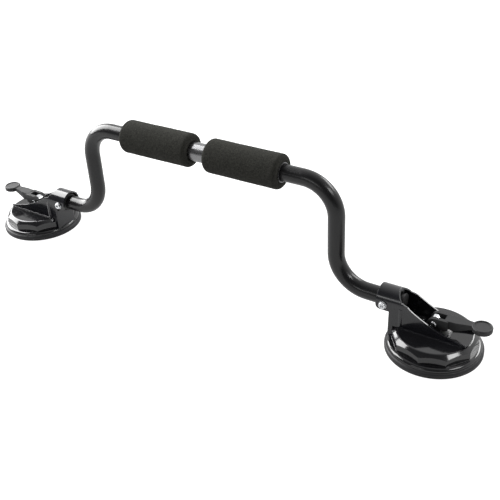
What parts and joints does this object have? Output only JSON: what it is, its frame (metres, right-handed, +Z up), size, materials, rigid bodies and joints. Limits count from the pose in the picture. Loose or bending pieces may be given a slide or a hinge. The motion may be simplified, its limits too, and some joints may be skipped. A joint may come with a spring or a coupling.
{
  "type": "suction cup lift bar",
  "caption": "Bent tube bar with a foam-covered roller, held at each end by a lever-locked suction cup in a pressed saddle bracket.",
  "frame": {"origin": "on the resting plane, midway between the two suction cups, under the middle of the roller", "axes": "+X along the bar towards the right cup, +Y across the bar away from the bolt heads, +Z up"},
  "size_m": [0.781, 0.118, 0.2106],
  "materials": {
    "black_paint": "satin",
    "bracket_paint": "gloss",
    "steel": "brushed",
    "zinc": "polished",
    "foam": "matte",
    "nylon": "matte",
    "black_plastic": "matte",
    "rubber": "matte",
    "gloss_plastic": "gloss",
    "lever_plastic": "matte"
  },
  "bodies": {
    "bar": {"bar_tube": "black_paint", "left_stop_ring": "steel", "left_end_plug": "black_plastic", "left_pivot_bush": "nylon", "right_stop_ring": "steel", "right_end_plug": "black_plastic", "right_pivot_bush": "nylon"},
    "roller": {"roller_sleeve": "steel", "left_foam": "foam", "left_roller_bush": "nylon", "right_foam": "foam", "right_roller_bush": "nylon"},
    "left_cup": {"left_cup_cover": "gloss_plastic", "left_suction_pad": "rubber", "left_bracket": "bracket_paint", "left_wear_plate": "steel", "left_bracket_screws": "zinc", "left_pivot_bolt": "zinc", "left_bolt_washers": "zinc", "left_pivot_nut": "zinc", "left_return_spring": "steel"},
    "left_stud": {"left_pull_stud": "steel", "left_stud_plate": "steel"},
    "left_cam_lever": {"left_lever": "lever_plastic", "left_lever_pin": "zinc"},
    "right_cup": {"right_cup_cover": "gloss_plastic", "right_suction_pad": "rubber", "right_bracket": "bracket_paint", "right_wear_plate": "steel", "right_bracket_screws": "zinc", "right_pivot_bolt": "zinc", "right_bolt_washers": "zinc", "right_pivot_nut": "zinc", "right_return_spring": "steel"},
    "right_stud": {"right_pull_stud": "steel", "right_stud_plate": "steel"},
    "right_cam_lever": {"right_lever": "lever_plastic", "right_lever_pin": "zinc"}
  },
  "joints": [
    {"name": "roller_spin", "type": "hinge", "parent": "bar", "child": "roller", "pos_m": [0, 0, 0.1883], "axis": [1, 0, 0], "continuous": true},
    {"name": "left_cup_rock", "type": "hinge", "parent": "bar", "child": "left_cup", "pos_m": [-0.2627, 0, 0.0525], "axis": [0, 1, 0], "range_deg": [-8, 8]},
    {"name": "left_stud_slide", "type": "slide", "parent": "left_cup", "child": "left_stud", "axis": [0, 0, 1], "range_m": [-0.0035, 0], "deforming": ["left_suction_pad", "left_return_spring"]},
    {"name": "left_lever_swing", "type": "hinge", "parent": "left_stud", "child": "left_cam_lever", "pos_m": [-0.3235, 0, 0.0405], "axis": [0, 1, 0], "range_deg": [0, 100]},
    {"name": "right_cup_rock", "type": "hinge", "parent": "bar", "child": "right_cup", "pos_m": [0.2627, 0, 0.0525], "axis": [0, 1, 0], "range_deg": [-8, 8]},
    {"name": "right_stud_slide", "type": "slide", "parent": "right_cup", "child": "right_stud", "axis": [0, 0, 1], "range_m": [-0.0035, 0], "deforming": ["right_suction_pad", "right_return_spring"]},
    {"name": "right_lever_swing", "type": "hinge", "parent": "right_stud", "child": "right_cam_lever", "pos_m": [0.3235, 0, 0.0405], "axis": [0, -1, 0], "range_deg": [0, 100]}
  ],
  "couplings": [
    {"joint": "left_stud_slide", "follows": "left_lever_swing", "m_per_rad": -0.002},
    {"joint": "right_stud_slide", "follows": "right_lever_swing", "m_per_rad": -0.002}
  ]
}
